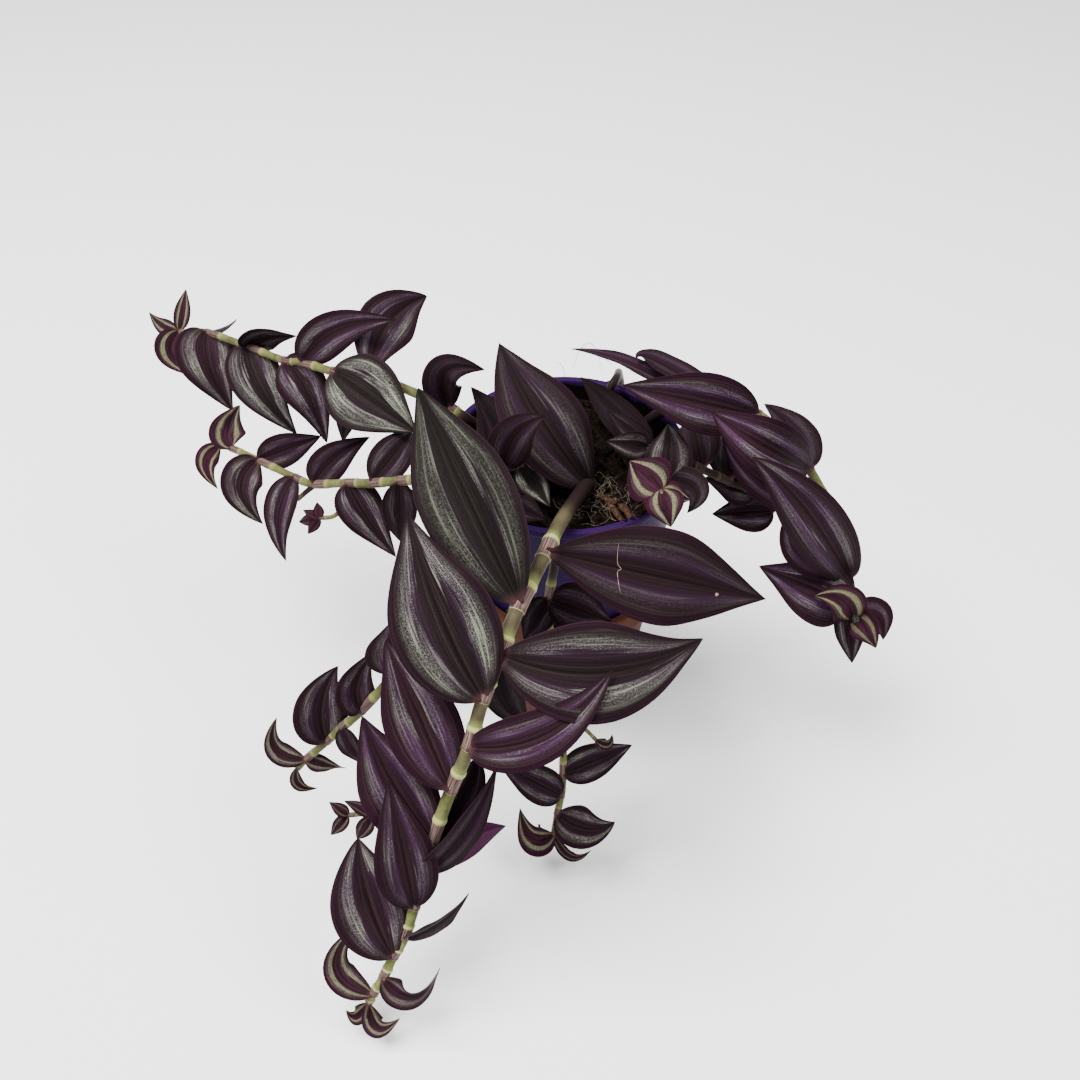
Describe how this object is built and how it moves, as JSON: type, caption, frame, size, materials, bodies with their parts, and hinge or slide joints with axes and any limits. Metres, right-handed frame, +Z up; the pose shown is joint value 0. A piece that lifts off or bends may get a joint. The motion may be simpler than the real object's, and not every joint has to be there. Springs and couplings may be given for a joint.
{
  "type": "potted tradescantia",
  "caption": "Trailing tradescantia with striped purple and silver leaves in a small violet pot that stands in the mouth of a second, brown pot.",
  "frame": {"origin": "middle of the lower pot's base, on the table", "axes": "+Z up out of the pots; -Y towards the side over which the longest stem trails; +X to the right of a viewer on that side"},
  "size_m": [0.2919, 0.2501, 0.1618],
  "materials": {
    "lower_pot_plastic": "matt",
    "pot_plastic": "satin",
    "soil": null,
    "leafy_stem": null
  },
  "bodies": {
    "root": {"lower_pot": "lower_pot_plastic", "pot": "pot_plastic", "soil": "soil", "stem_front": "leafy_stem", "stem_front_left": "leafy_stem", "stem_back_left": "leafy_stem", "stem_left": "leafy_stem", "stem_right": "leafy_stem", "shoot_right": "leafy_stem", "shoot_middle": "leafy_stem", "stem_right_low": "leafy_stem", "stem_back": "leafy_stem"}
  },
  "joints": []
}
